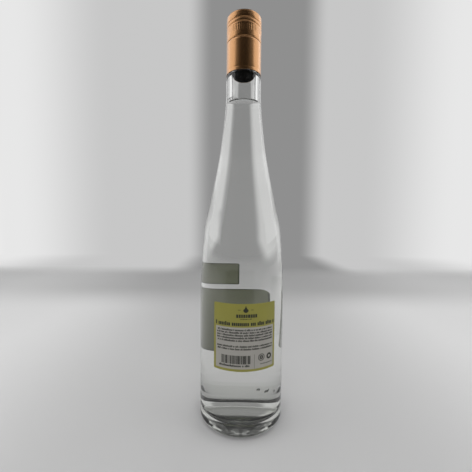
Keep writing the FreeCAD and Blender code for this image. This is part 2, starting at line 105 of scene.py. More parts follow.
def feed(links, item, socket):
    """Joins a socket to another socket, or sets it to a plain number."""
    if hasattr(item, "links"):
        links.new(item, socket)
    else:
        socket.default_value = item


def math_node(nodes, links, kind, first, second):
    """One Math node on two values, each a socket or a plain number."""
    node = nodes.new("ShaderNodeMath")
    node.operation = kind
    for socket, item in zip(node.inputs, (first, second)):
        feed(links, item, socket)
    return node.outputs[0]


def smooth_step(nodes, links, source, low, high, start, end):
    """Runs smoothly from start to end while the source runs from low to high."""
    node = nodes.new("ShaderNodeMapRange")
    node.interpolation_type = "SMOOTHSTEP"
    links.new(source, node.inputs["Value"])
    for socket, item in (("From Min", low), ("From Max", high), ("To Min", start), ("To Max", end)):
        feed(links, item, node.inputs[socket])
    return node.outputs[0]


def studio_tone(nodes, links, tone, shown):
    """A matt surface of a grey tone. The camera, gloss and glass see a share, shown, of it lit by itself."""
    grey = nodes.new("ShaderNodeCombineColor")
    for socket in grey.inputs:
        links.new(tone, socket)
    matt = nodes.new("ShaderNodeBsdfDiffuse")
    links.new(grey.outputs[0], matt.inputs["Color"])
    glow = nodes.new("ShaderNodeEmission")
    links.new(grey.outputs[0], glow.inputs["Color"])
    glow.inputs["Strength"].default_value = 1.0
    path = nodes.new("ShaderNodeLightPath")
    seen = math_node(nodes, links, "MAXIMUM", path.outputs["Is Camera Ray"], path.outputs["Is Glossy Ray"])
    seen = math_node(nodes, links, "MAXIMUM", seen, path.outputs["Is Transmission Ray"])
    share = math_node(nodes, links, "MULTIPLY", seen, shown)
    mix = nodes.new("ShaderNodeMixShader")
    links.new(share, mix.inputs[0])
    links.new(matt.outputs[0], mix.inputs[1])
    links.new(glow.outputs[0], mix.inputs[2])
    return mix.outputs[0]


def object_axes(nodes, links):
    """The three Object coordinates, each a socket: across, back and up."""
    place = nodes.new("ShaderNodeTexCoord")
    axes = nodes.new("ShaderNodeSeparateXYZ")
    links.new(place.outputs["Object"], axes.inputs[0])
    return axes.outputs


def backdrop_painted_tone(nodes, links, across):
    """Painted light and shade: mid grey in a strip behind the bottle, a little to the right, as painted
    shade, and paler in three steps outwards, as painted light from the sides.
    """
    strip_middle, strip_run = 0.09, (0.21, 0.34)
    side_run, outer_run = (0.6, 1.05), (1.1, 1.2)
    # the strip's grey is painted shade, and the paler steps outwards are painted light
    shaded_strip_tone, beside_tone, side_tone, outer_tone = 0.275, 0.57, 0.8, 0.98
    from_strip = math_node(nodes, links, "SUBTRACT", across, strip_middle)
    from_strip = math_node(nodes, links, "ABSOLUTE", from_strip, 0.0)
    aside = math_node(nodes, links, "ABSOLUTE", across, 0.0)
    tone = smooth_step(nodes, links, from_strip, *strip_run, shaded_strip_tone, beside_tone)
    tone = smooth_step(nodes, links, aside, *side_run, tone, side_tone)
    return smooth_step(nodes, links, aside, *outer_run, tone, outer_tone)


def sweep_material():
    """The sweep's paper, whose tone is painted light and shade: mid grey behind the bottle, pale at both
    sides.

    It is painted darker towards its top, as painted shade, and it darkens along its two arms."""
    # the fade to dark at the top is painted shade
    top_run, top_shade_tone = (1.45, 2.0), 0.06
    arm_run, arm_tone = (0.65, 0.95), 0.08
    material, nodes, links, output = new_material("sweep_paper")
    across, back, up = object_axes(nodes, links)
    tone = smooth_step(nodes, links, up, *top_run, backdrop_painted_tone(nodes, links, across), top_shade_tone)
    tone = smooth_step(nodes, links, back, *arm_run, arm_tone, tone)
    links.new(studio_tone(nodes, links, tone, 1.0), output.inputs[0])
    return material


def floor_material():
    """The floor's pale matt sheet, paler at the sides as painted light, with a greyer stretch some way
    behind the bottle as painted shade.

    It is painted dark well in front of the bottle, as painted shade. Far back it runs into the sweep's
    own tone, so that no line shows between them through the glass."""
    # painted light at the sides, a band of painted shade behind the bottle, and painted shade in front
    near_spread, near_painted_light_tones = (0.10, 0.35), (0.53, 0.74)
    shade_band_spread, shade_band_tones = (0.15, 0.60), (0.42, 0.62)
    shade_band_run, far_run = (0.30, 0.50), (0.64, 0.84)
    front_shade_run, front_shade_tone = (-0.70, -0.35), 0.26
    material, nodes, links, output = new_material("floor_sheet")
    across, back = object_axes(nodes, links)[:2]
    aside = math_node(nodes, links, "ABSOLUTE", across, 0.0)
    near = smooth_step(nodes, links, aside, *near_spread, *near_painted_light_tones)
    middle = smooth_step(nodes, links, aside, *shade_band_spread, *shade_band_tones)
    far = backdrop_painted_tone(nodes, links, across)
    tone = smooth_step(nodes, links, back, *shade_band_run, near, middle)
    tone = smooth_step(nodes, links, back, *far_run, tone, far)
    tone = smooth_step(nodes, links, back, *front_shade_run, front_shade_tone, tone)
    shown = smooth_step(nodes, links, back, *far_run, 0.0, 1.0)
    links.new(studio_tone(nodes, links, tone, shown), output.inputs[0])
    return material


floor_reach, floor_front, floor_lap = 1.7, -1.5, 0.02
sweep_depth, sweep_height, sweep_squareness, arm_front = 1.19, 2.6, 4.0, -0.35
floor_corners = [
    (-floor_reach, floor_front, 0),
    (floor_reach, floor_front, 0),
    (floor_reach, sweep_depth + floor_lap, 0),
    (-floor_reach, sweep_depth + floor_lap, 0),
]
floor = mesh_object("floor", floor_corners, [(0, 1, 2, 3)], [floor_material()])

# the sweep's line on the floor is half of a squared-off ellipse, with a straight arm at each end
sweep_x = floor_reach * np.sin(np.linspace(-np.pi / 2, np.pi / 2, 97))
sweep_y = sweep_depth * (1 - np.abs(sweep_x / floor_reach) ** sweep_squareness) ** (1 / sweep_squareness)
sweep_x = np.concatenate([[-floor_reach], sweep_x, [floor_reach]])
sweep_y = np.concatenate([[arm_front], sweep_y, [arm_front]])
sweep_rows = [
    np.stack([sweep_x, sweep_y, np.full_like(sweep_x, height)], 1) for height in (0, sweep_height)
]
sweep_faces = grid_faces(2, len(sweep_x))
sweep = mesh_object("sweep", np.concatenate(sweep_rows), sweep_faces, [sweep_material()])


def soft_lamp(name, place, aim, width, height, power, glossy=True):
    """A rectangular soft lamp at place that faces the point aim.

    Gloss shows it or not, and it never shows through glass."""
    data = bpy.data.lights.new(name, "AREA")
    data.shape = "RECTANGLE"
    data.size, data.size_y = width, height
    data.energy = power
    lamp = bpy.data.objects.new(name, data)
    turned = (Vector(place) - Vector(aim)).to_track_quat("Z", "Y")
    lamp.matrix_world = Matrix.Translation(place) @ turned.to_matrix().to_4x4()
    lamp.visible_glossy = glossy
    lamp.visible_transmission = False
    bpy.context.scene.collection.objects.link(lamp)


lamp_aim = (0, 0, 0.5)
for lamp_name, aside, back in (("left_lamp", -0.95, -0.02), ("right_lamp", 0.95, 0.08)):
    soft_lamp(lamp_name, (aside, back, 1.0), lamp_aim, width=1.2, height=1.8, power=6.9)
    wing_place = (aside * 0.72, -0.72, 0.85)
    soft_lamp(lamp_name + "_wing", wing_place, lamp_aim, width=0.34, height=1.4, power=0.13)
soft_lamp("groove_light", (0, -0.55, 1.45), (0, 0, 0.33), width=1.0, height=0.3, power=0.4)
soft_lamp("top_fill", (0, 0.3, 1.9), (0, 0.3, 0), width=2.0, height=1.6, power=13.0, glossy=False)
soft_lamp("front_fill", (0, -1.2, 0.9), (0, 0, 0.15), width=1.4, height=0.9, power=10.0, glossy=False)
world = bpy.data.worlds.new("room")
world.use_nodes = True
world.node_tree.nodes["Background"].inputs["Color"].default_value = (0.02, 0.02, 0.02, 1)
scene.world = world

# Bottle. Clear pressed and blown glass in one piece: a thick base with a push-up, a straight body that
# eases into a long shoulder and neck, and a threaded finish. The mould leaves fine ribs on the bearing.
MM = 1000.0


def box_mm(node):
    """The lowest and highest corners of a CAD node, in millimetres."""
    return [np.array(corner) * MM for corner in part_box(node)]


glass_high = box_mm("bottle")[1]
body_radius, lip_height = glass_high[0], glass_high[2]
fill_height = box_mm("spirit")[1][2]
neck_radius, bore_radius, body_wall, base_height = 15.1, 9.75, 2.95, 20.0
straight_room, neck_room = 8, 2
shoulder_start, shoulder_break, slope_start = 97.0, 165.0, 184.0
slope_end, sweep_end, taper_end, neck_start = 214.5, 244.0, 263.0, 290.0
ease_radius, neck_lean = 815.0, np.radians(6.88)
collar_radius, recess_radius, ground_radius, ground_low = 14.45, 13.6, 13.1, 330.5


def bow(radius, height, start, end, rise, count=12):
    """An arc whose slope against the axis turns from start to end over a rise.

    Its height follows the sine of the slope, and its radius the cosine."""
    lean = np.linspace(start, end, count + 1)[1:]
    bend = rise / (np.sin(end) - np.sin(start))
    inward = bend * (np.cos(start) - np.cos(lean))
    return np.stack([radius - inward, height + bend * (np.sin(lean) - np.sin(start))], 1)


def ramp(radius, height, lean, rise, count=4):
    """A straight stretch of wall at one slope against the axis."""
    step = np.linspace(0, rise, count + 1)[1:]
    return np.stack([radius - step * np.tan(lean), height + step], 1)


def shoulder(radius, slope):
    """The wall from the straight body up to the neck, for one slope of the shoulder's straight part."""
    wall = [np.array([[radius, shoulder_start]])]
    ease = np.arcsin((shoulder_break - shoulder_start) / ease_radius)
    stretches = (
        (bow, 0.0, ease, shoulder_break),
        (bow, ease, slope, slope_start),
        (ramp, slope, slope, slope_end),
        (bow, slope, neck_lean, sweep_end),
        (ramp, neck_lean, neck_lean, taper_end),
        (bow, neck_lean, 0.0, neck_start),
    )
    for kind, start, end, height in stretches:
        radius, low = wall[-1][-1]
        leans = (start, end) if kind is bow else (start,)
        wall.append(kind(radius, low, *leans, height - low))
    return np.concatenate(wall)


def wall_to(low_radius, high_radius):
    """The shoulder that meets the neck at high_radius: its slope is read off a table of trial slopes."""
    least_slope, most_slope = 0.12, 0.40
    slopes = np.linspace(least_slope, most_slope, 57)
    ends = [shoulder(low_radius, slope)[-1, 0] for slope in slopes]
    return shoulder(low_radius, np.interp(-high_radius, -np.array(ends), slopes))


def rounded(corners, radii, count=6):
    """A run of corners with each inner corner turned by an arc of its own radius.

    The arc's middle lies on the line that halves the corner, its radius over the sine of half the corner
    away, and its points swing evenly from one tangent point to the other."""
    corners = np.asarray(corners, float)
    run = [corners[:1]]
    for before, corner, after, radius in zip(corners, corners[1:], corners[2:], radii):
        back = (before - corner) / np.linalg.norm(before - corner)
        ahead = (after - corner) / np.linalg.norm(after - corner)
        half = np.arccos(np.clip(back @ ahead, -1, 1)) / 2
        middle = corner + (back + ahead) / np.linalg.norm(back + ahead) * radius / np.sin(half)
        start = corner + back * radius / np.tan(half) - middle
        end = corner + ahead * radius / np.tan(half) - middle
        sweep_angle = np.pi - 2 * half
        step = np.linspace(0, 1, count + 1)[:, None]
        arc = np.sin((1 - step) * sweep_angle) * start + np.sin(step * sweep_angle) * end
        run.append(middle + arc / np.sin(sweep_angle))
    return np.concatenate(run + [corners[-1:]])


def revolved(profile, turns):
    """Carries a profile of radius and height round the axis: x = r cos a, y = r sin a, z = h.

    The profile starts and ends on the axis, which makes one pole at each end. Returns the points, the
    faces and the profile row that each face starts from."""
    angle = np.linspace(0, 2 * np.pi, turns, endpoint=False)
    ring = profile[1:-1]
    points = np.stack(
        [
            ring[:, :1] * np.cos(angle),
            ring[:, :1] * np.sin(angle),
            np.repeat(ring[:, 1:], turns, axis=1),
        ],
        axis=2,
    ).reshape(-1, 3)
    poles = [(0, 0, profile[0, 1]), (0, 0, profile[-1, 1])]
    around = np.arange(turns)
    beside = (around + 1) % turns
    last = (len(ring) - 1) * turns
    first_pole, last_pole = len(points), len(points) + 1
    start_fan = np.stack([np.full(turns, first_pole), beside, around], 1)
    end_fan = np.stack([last + around, last + beside, np.full(turns, last_pole)], 1)
    quads = grid_faces(len(ring), turns, closed=True)
    faces = start_fan.tolist() + quads.tolist() + end_fan.tolist()
    rows = np.concatenate(
        [np.zeros(turns), 1 + np.repeat(np.arange(len(ring) - 1), turns), np.full(turns, len(ring))]
    )
    return np.concatenate([points, poles]), faces, rows.astype(int)


def straight_wall(radius, low, count=5):
    """Evenly spaced points up the straight body, which stop a little short of the shoulder."""
    height = np.linspace(low, shoulder_start - straight_room, count)
    return np.stack([np.full(count, radius), height], 1)


def outer_profile():
    """Outside of the glass from the middle of the push-up, over the bearing and up to the lip.

    The push-up is a ball's cap: its height falls from the middle as the root of the ball's radius
    squared less the distance squared."""
    heel_radius, bearing_inner, bearing_edge, punt_height = 6.0, 29.6, 1.2, 6.5
    punt_ball = (bearing_inner**2 + punt_height**2) / (2 * punt_height)
    punt_radius = np.linspace(0, bearing_inner - 1.0, 14)
    punt = np.stack([punt_radius, punt_height - punt_ball + np.sqrt(punt_ball**2 - punt_radius**2)], 1)
    base_corners = [punt[-1], (bearing_inner, 0), (body_radius, 0), (body_radius, base_height)]
    base = rounded(base_corners, [bearing_edge, heel_radius], count=14)
    body = straight_wall(body_radius, 30)
    wall = wall_to(body_radius, neck_radius)
    collar_low, collar_high, bead_low, bead_high, taper_top = 302.45, 306.45, 324.8, 327.2, 328.5
    chamfer, neck_edge, finish_edge = 1.0, 0.5, 0.4
    finish_corners = [
        (neck_radius, neck_start + neck_room),
        (neck_radius, collar_low - chamfer),
        (collar_radius, collar_low),
        (collar_radius, collar_high),
        (recess_radius, collar_high + chamfer),
        (recess_radius, bead_low - chamfer),
        (collar_radius, bead_low),
        (collar_radius, bead_high),
        (ground_radius, taper_top),
        (ground_radius, ground_low),
    ]
    finish = rounded(finish_corners, [neck_edge] + [finish_edge] * 7, count=3)
    ground_rows = np.linspace(ground_low + 0.5, 347.5, 34)
    ground = np.stack([np.full_like(ground_rows, ground_radius), ground_rows], 1)
    lip_start, lip_outer_edge, lip_inner_edge = 348.2, 1.5, 0.8
    lip_corners = [
        (ground_radius, lip_start),
        (ground_radius, lip_height),
        (bore_radius, lip_height),
        (bore_radius, neck_start + neck_room),
    ]
    lip = rounded(lip_corners, [lip_outer_edge, lip_inner_edge])
    return np.concatenate([punt[:-1], base, body, wall, finish, ground, lip[:-1]])


def inner_profile():
    """Inside of the glass from the middle of its floor up to the bore, with a row at the wetted edge.

    The floor is a ball's cap. A round corner joins it to the wall, and the corner's middle lies as far
    from the ball's as both their radii together."""
    floor_height, floor_ball, corner_radius, edge_room = 12.5, 100.0, 8.0, 0.3
    cavity_radius = body_radius - body_wall
    centre = cavity_radius - corner_radius
    both_radii = floor_ball + corner_radius
    ball_height = floor_height - floor_ball
    corner_height = ball_height + np.sqrt(both_radii**2 - centre**2)
    radius = np.linspace(0, centre * floor_ball / both_radii, 10)
    dome = np.stack([radius, ball_height + np.sqrt(floor_ball**2 - radius**2)], 1)
    turn = np.linspace(-np.arccos(centre / both_radii), 0, 11)[1:, None]
    corner = (centre, corner_height) + corner_radius * np.hstack([np.cos(turn), np.sin(turn)])
    body = straight_wall(cavity_radius, 28)
    wall = wall_to(cavity_radius, bore_radius)
    inside = np.concatenate([dome, corner, body, wall])
    edge = np.interp(fill_height, inside[:, 1], inside[:, 0])
    below = inside[:, 1] < fill_height - edge_room
    above = inside[:, 1] > fill_height
    return np.concatenate([inside[below], [[edge, fill_height]], inside[above]])


def clear_material(name, index, tint=(1.0, 1.0, 1.0), passed=0.975):
    """A polished clear surface that bends light by index, for glass, spirit or the wall between them.

    Light on its way to dull surfaces, the lamps' included, goes straight through, so what stands behind
    the glass is lit. Each wall lets the share passed of it through."""
    material, nodes, links, output = new_material(name)
    body = nodes.new("ShaderNodeBsdfPrincipled")
    body.inputs["Base Color"].default_value = (*tint, 1)
    body.inputs["Roughness"].default_value = 0.0
    body.inputs["IOR"].default_value = index
    body.inputs["Transmission Weight"].default_value = 1.0
    through = nodes.new("ShaderNodeBsdfTransparent")
    through.inputs["Color"].default_value = (passed, passed, passed, 1)
    path = nodes.new("ShaderNodeLightPath")
    surface = body.outputs[0]
    for ray in ("Is Diffuse Ray", "Is Shadow Ray"):
        mix = nodes.new("ShaderNodeMixShader")
        links.new(path.outputs[ray], mix.inputs[0])
        links.new(surface, mix.inputs[1])
        links.new(through.outputs[0], mix.inputs[2])
        surface = mix.outputs[0]
    links.new(surface, output.inputs[0])
    return material


glass_index, spirit_index = 1.5, 1.36
wet_index = glass_index / spirit_index
clear_glass = clear_material("clear_glass", glass_index, (0.984, 0.987, 0.979))
wetted_glass = clear_material("wetted_glass", wet_index, (0.984, 0.987, 0.981))
# the base's slots are tinted darker as painted shade, which dims the thick base, and pass less lamp light,
# which deepens its shadow on the floor
shaded_base_glass = clear_material("shaded_base_glass", glass_index, (0.88, 0.89, 0.86), passed=0.3)
shaded_wetted_base = clear_material("shaded_wetted_base", wet_index, (0.86, 0.868, 0.845), passed=0.5)
bottle_turns = 288
outside, inside = outer_profile(), inner_profile()
bottle_profile = np.concatenate([outside, inside[::-1]])
bottle_points, bottle_faces, bottle_rows = revolved(bottle_profile, bottle_turns)

# fine ribs on the bearing: its height follows a cosine round the axis
around = np.arctan2(bottle_points[:, 1], bottle_points[:, 0])
reach = np.hypot(bottle_points[:, 0], bottle_points[:, 1])
rib_count, rib_depth, rib_inner, rib_outer, rib_top = 36, 0.12, 29.2, 34.5, 1.0
on_bearing = (reach > rib_inner) & (reach < rib_outer) & (bottle_points[:, 2] < rib_top)
bottle_points[:, 2] += np.where(on_bearing, rib_depth * (0.5 + 0.5 * np.cos(rib_count * around)), 0)

# about two and a half turns of thread, which the cap is rolled on: a ridge with the section of a squared
# cosine, whose middle climbs with the angle, and which fades in and out at its ends
thread_pitch, thread_height, thread_half, thread_start = 3.4, 1.1, 1.1, 333.5
thread_turns, fade_rate = 2.6, 4
lap_share = (around + np.pi) / (2 * np.pi)
on_ground = (np.abs(reach - ground_radius) < 0.05) & (bottle_points[:, 2] > ground_low)
for lap in range(3):
    turned = lap + lap_share
    away = np.abs(bottle_points[:, 2] - thread_start - thread_pitch * turned) / thread_half
    swell = np.where(on_ground & (away < 1), thread_height * np.cos(away * np.pi / 2) ** 2, 0)
    fade = np.clip(turned * fade_rate, 0, 1) * np.clip((thread_turns - turned) * fade_rate, 0, 1)
    stretch = 1 + swell * fade / np.maximum(reach, 1)
    bottle_points[:, :2] *= stretch[:, None]

# the wetted inside takes the second of each pair of glass slots, and the base the second pair
contact_row = len(bottle_profile) - 1 - int(np.argmin(np.abs(inside[:, 1] - fill_height)))
in_base = bottle_profile[bottle_rows, 1] < base_height
bottle = mesh_object(
    "bottle_glass",
    bottle_points / MM,
    bottle_faces,
    [clear_glass, wetted_glass, shaded_base_glass, shaded_wetted_base],
    (bottle_rows >= contact_row) + 2 * in_base,
)
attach(bottle, "root")
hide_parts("bottle")

# Spirit. Clear pear brandy up to the neck. Its sides reach just into the glass, where they bend
# nothing. Its top edge is where it wets the wall, and its surface dips from there in a small curve.
skin_reach, contact_rise, climb_width = 0.1, 1.0, 0.9
spirit_turns = 192
spirit_surface = clear_material("spirit_surface", spirit_index)
spirit_skin = clear_material("spirit_skin", 1.0, passed=1.0)


def pushed_out(profile, distance):
    """A profile moved along its own normal, which is its direction turned a quarter to the right."""
    along = np.gradient(profile, axis=0)
    along /= np.linalg.norm(along, axis=1)[:, None]
    return profile + distance * np.stack([along[:, 1], -along[:, 0]], 1)


# the climb dies away from the wall as an exponential of the distance
wet_wall = inside[inside[:, 1] <= fill_height + 1e-6]
skin = pushed_out(wet_wall, skin_reach)
skin[0, 0] = 0.0
surface_radius = skin[-1, 0] * (1 - np.linspace(0, 1, 26) ** 2)[1:]
surface_climb = contact_rise * np.exp((surface_radius - wet_wall[-1, 0]) / climb_width)
free_surface = np.stack([surface_radius, fill_height - contact_rise + surface_climb], 1)
spirit_profile = np.concatenate([skin, free_surface])
spirit_points, spirit_faces, spirit_rows = revolved(spirit_profile, spirit_turns)
spirit = mesh_object(
    "pear_spirit",
    spirit_points / MM,
    spirit_faces,
    [spirit_skin, spirit_surface],
    spirit_rows >= len(skin) - 1,
)
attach(spirit, "root")
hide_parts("spirit")

# Screw cap. Thin aluminium drawn into a long cup and anodised a satin copper, with four rolled grooves,
# a knurled band and a tear line of slots and bridges. It is rolled on, and its skirt ends just above
# the neck.
cap_low, cap_high = box_mm("screw_cap")
cap_radius, cap_top, skirt_end = cap_high[0], cap_high[2], cap_low[2]
cap_sheet, cap_corner = 0.25, 2.0
cap_columns = 480
cap_angle = np.linspace(0, 2 * np.pi, cap_columns, endpoint=False)
groove_places, groove_depths = (344.05, 340.95, 328.95, 305.25), (0.4, 0.4, 0.4, 0.12)
groove_width, groove_bow = 1.7, 0.3
tear_place, tear_height = groove_places[2], 0.3
knurl_low, knurl_high, knurl_fade = 334.15, 339.55, 0.4
knurl_count, knurl_depth, knurl_mouth = 60, 0.12, 0.9
bridge_count, bridge_width = 8, 1.2


def cap_profile():
    """Outside of the cap from its end at the neck to the middle of its top, as radius and height.

    Across a groove the depth falls from the middle to the edge a little faster than a straight line."""
    groove_rows = [place + groove_width * np.linspace(-0.5, 0.5, 11) for place in groove_places]
    slot_rows = [tear_place - tear_height / 2, tear_place + tear_height / 2]
    knurl_rows = np.linspace(knurl_low - knurl_fade, knurl_high + knurl_fade, 16)
    plain_rows = [skirt_end, skirt_end + 0.3, 310, 316, 322, 327, 331, 332.5, 346.5]
    height = np.unique(np.round(np.concatenate(groove_rows + [slot_rows, knurl_rows, plain_rows]), 4))
    radius = np.full_like(height, cap_radius)
    for place, depth in zip(groove_places, groove_depths):
        across = np.clip(np.abs(height - place) / (groove_width / 2), 0, 1)
        radius -= depth * (1 - across) * (1 - groove_bow * across)
    turn = np.linspace(0, np.pi / 2, 11)
    corner_middle = np.array([cap_radius - cap_corner, cap_top - cap_corner])
    corner = corner_middle + cap_corner * np.stack([np.cos(turn), np.sin(turn)], 1)
    top_radius = corner_middle[0] * np.linspace(1, 0, 9)[1:]
    top = np.stack([top_radius, np.full_like(top_radius, cap_top)], 1)
    side = np.stack([radius, height], 1)
    return np.concatenate([side[height < cap_top - cap_corner - 0.05], corner, top])


def carried_round(profile, angle, dent):
    """Every profile point at every angle, with the radius less the dent of that point and angle."""
    radius = profile[:, :1] - dent
    return np.stack([radius * np.cos(angle), radius * np.sin(angle), profile[:, 1:] + 0 * radius], 2)


def shell_faces(kept, rows, columns):
    """Outer and inner quads of the kept cells of a closed grid, and the rims where kept cells end.

    The inner grid's points follow the outer grid's. A rim joins each open edge to its inner twin."""
    quads = grid_faces(rows, columns, closed=True)
    inner = rows * columns
    cells = kept.ravel()
    parts = [quads[cells], (quads + inner)[cells][:, ::-1]]
    below = np.vstack([np.zeros((1, columns), bool), kept[:-1]])
    above = np.vstack([kept[1:], np.zeros((1, columns), bool)])
    above[-1] = True
    left, right = np.roll(kept, 1, axis=1), np.roll(kept, -1, axis=1)
    for neighbour, a, b in ((below, 0, 1), (right, 1, 2), (above, 2, 3), (left, 3, 0)):
        open_edge = (kept & ~neighbour).ravel()
        first, second = quads[open_edge, a], quads[open_edge, b]
        parts.append(np.stack([second, first, first + inner, second + inner], 1))
    return parts


def from_nearest(count):
    """Each cap column's distance along the skirt from the nearest of count even marks round it."""
    pitch = 2 * np.pi * cap_radius / count
    return (cap_angle * cap_radius + pitch / 2) % pitch - pitch / 2


# a flute's depth is a parabola across, and runs out in a straight line at its two ends
cap_outline = cap_profile()
dent_across = np.clip(1 - (2 * from_nearest(knurl_count) / knurl_mouth) ** 2, 0, 1)
dent_along = np.clip((cap_outline[:, 1] - knurl_low) / knurl_fade, 0, 1)
dent_along *= np.clip((knurl_high - cap_outline[:, 1]) / knurl_fade, 0, 1)
knurl_dent = knurl_depth * dent_along[:, None] * dent_across
outer_cap = carried_round(cap_outline[:-1], cap_angle, knurl_dent[:-1])
cap_inline = pushed_out(cap_outline, -cap_sheet)
cap_inline[0] = (cap_radius - cap_sheet, skirt_end)
inner_cap = carried_round(cap_inline[:-1], cap_angle, knurl_dent[:-1])
tear_cell = np.abs((cap_outline[:-2, 1] + cap_outline[1:-1, 1]) / 2 - tear_place) < tear_height / 2
open_column = np.abs(from_nearest(bridge_count)) > bridge_width / 2
cap_rows = len(cap_outline) - 1
cap_parts = shell_faces(~(tear_cell[:, None] & open_column), cap_rows, cap_columns)
inner_start = cap_rows * cap_columns
last_ring = inner_start - cap_columns + np.arange(cap_columns)
last_beside = np.roll(last_ring, -1)
outer_pole = np.full(cap_columns, 2 * inner_start)
outer_fan = np.stack([last_ring, last_beside, outer_pole], 1)
inner_fan = np.stack([last_beside + inner_start, last_ring + inner_start, outer_pole + 1], 1)
cap_poles = [(0, 0, cap_top), (0, 0, cap_top - cap_sheet)]
cap_points = np.concatenate([outer_cap.reshape(-1, 3), inner_cap.reshape(-1, 3), cap_poles])
cap_faces = [face for part in cap_parts + [outer_fan, inner_fan] for face in part.tolist()]
# the inside faces and the inner top take slot 1, which is painted near black as painted shade
cap_slots = np.zeros(len(cap_faces), int)
inside_faces_start = len(cap_parts[0])
cap_slots[inside_faces_start : inside_faces_start + len(cap_parts[1])] = 1
cap_slots[-cap_columns:] = 1


noise_run = (0.3, 0.7)


def noise(nodes, links, place, scale, detail=2.0):
    """Smooth noise read at place, the finer the larger its scale. Most of it lies within noise_run."""
    node = nodes.new("ShaderNodeTexNoise")
    node.inputs["Scale"].default_value = scale
    node.inputs["Detail"].default_value = detail
    links.new(place, node.inputs["Vector"])
    return node.outputs["Fac"]


def colour_run(nodes, links, source, places, colours):
    """Runs from the first colour to the second while the source runs from the first place to the second."""
    node = nodes.new("ShaderNodeValToRGB")
    for element, position, colour in zip(node.color_ramp.elements, places, colours):
        element.position = position
        element.color = (*colour, 1)
    links.new(source, node.inputs[0])
    return node.outputs[0]


def relief(nodes, links, height, strength, distance):
    """The surface's direction, tilted as a relief of this height and distance would tilt it."""
    bump = nodes.new("ShaderNodeBump")
    bump.inputs["Strength"].default_value = strength
    bump.inputs["Distance"].default_value = distance
    links.new(height, bump.inputs["Height"])
    return bump.outputs[0]


def copper_material():
    """Satin anodised aluminium: copper metal whose colour and sheen vary in fine streaks round the cap."""
    material, nodes, links, output = new_material("satin_copper")
    place = nodes.new("ShaderNodeTexCoord")
    spread = nodes.new("ShaderNodeMapping")
    spread.inputs["Scale"].default_value = (1.0, 1.0, 6.0)
    links.new(place.outputs["Object"], spread.inputs[0])
    streaks = noise(nodes, links, spread.outputs[0], 900.0, detail=3.0)
    tints = ((0.63, 0.312, 0.118), (0.68, 0.345, 0.135))
    metal = nodes.new("ShaderNodeBsdfPrincipled")
    metal.inputs["Metallic"].default_value = 1.0
    metal.inputs["Coat Weight"].default_value = 0.9
    metal.inputs["Coat Roughness"].default_value = 0.22
    links.new(colour_run(nodes, links, streaks, (0.35, 0.65), tints), metal.inputs["Base Color"])
    links.new(smooth_step(nodes, links, streaks, *noise_run, 0.28, 0.32), metal.inputs["Roughness"])
    links.new(relief(nodes, links, streaks, strength=0.015, distance=0.0001), metal.inputs["Normal"])
    links.new(metal.outputs[0], output.inputs[0])
    return material


def dark_inside_material():
    """The cap's inside and sealing disc, painted near black as painted shade in the hollow, a little uneven
    in their dullness.
    """
    material, nodes, links, output = new_material("cap_inside_painted_shade")
    place = nodes.new("ShaderNodeTexCoord")
    grain = noise(nodes, links, place.outputs["Object"], 700.0)
    dull = nodes.new("ShaderNodeBsdfPrincipled")
    dull.inputs["Base Color"].default_value = (0.012, 0.011, 0.010, 1)
    links.new(smooth_step(nodes, links, grain, *noise_run, 0.5, 0.65), dull.inputs["Roughness"])
    links.new(dull.outputs[0], output.inputs[0])
    return material


cap = mesh_object(
    "copper_cap", cap_points / MM, cap_faces, [copper_material(), dark_inside_material()], cap_slots, sharp=38
)
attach(cap, "root")
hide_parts("screw_cap")

# Back label. Coated paper stuck round the near side: an olive green head over a pale panel with an
# olive border. Its printing is plain: greeked lines, plain bars, three rings and a small pear mark.
glue, paper, ink = 0.05, 0.15, 0.04
paper_face = glue + paper - ink
ink_top, ink_foot = paper_face + ink, paper_face - ink / 2
label_wall = wall_to(body_radius, neck_radius)


def wall_radius(height):
    """Outside radius of the glass at a height."""
    return np.interp(height, label_wall[:, 1], label_wall[:, 0])


def on_wall(across, height, middle, lift):
    """Points lifted off the glass, at an arc length across from the middle direction and a height."""
    angle = middle + across / body_radius
    radius = wall_radius(height) + lift
    return np.stack([radius * np.cos(angle), radius * np.sin(angle), height + 0 * angle], -1)


def rows_with(low, high, step, extra):
    """Evenly spaced values from low to high with the extra ones put in."""
    even = np.linspace(low, high, int((high - low) / step) + 1)
    extra = np.asarray(extra, float)
    far = np.abs(even[:, None] - extra[None]).min(1) > step / 4
    far[[0, -1]] = True
    return np.unique(np.round(np.concatenate([even[far], extra]), 5))


def sheet_faces(rows, columns):
    """Faces of a thin closed sheet: a front grid, its back grid turned over, and the rim between."""
    faces = grid_faces(rows, columns)
    count = rows * columns
    edge = np.concatenate(
        [
            np.arange(columns),
            columns * np.arange(1, rows) + columns - 1,
            count - 2 - np.arange(columns - 1),
            columns * np.arange(rows - 2, 0, -1),
        ]
    )
    edge_next = np.roll(edge, -1)
    rim = np.stack([edge_next, edge, edge + count, edge_next + count], 1)
    return np.concatenate([faces, faces[:, ::-1] + count, rim])


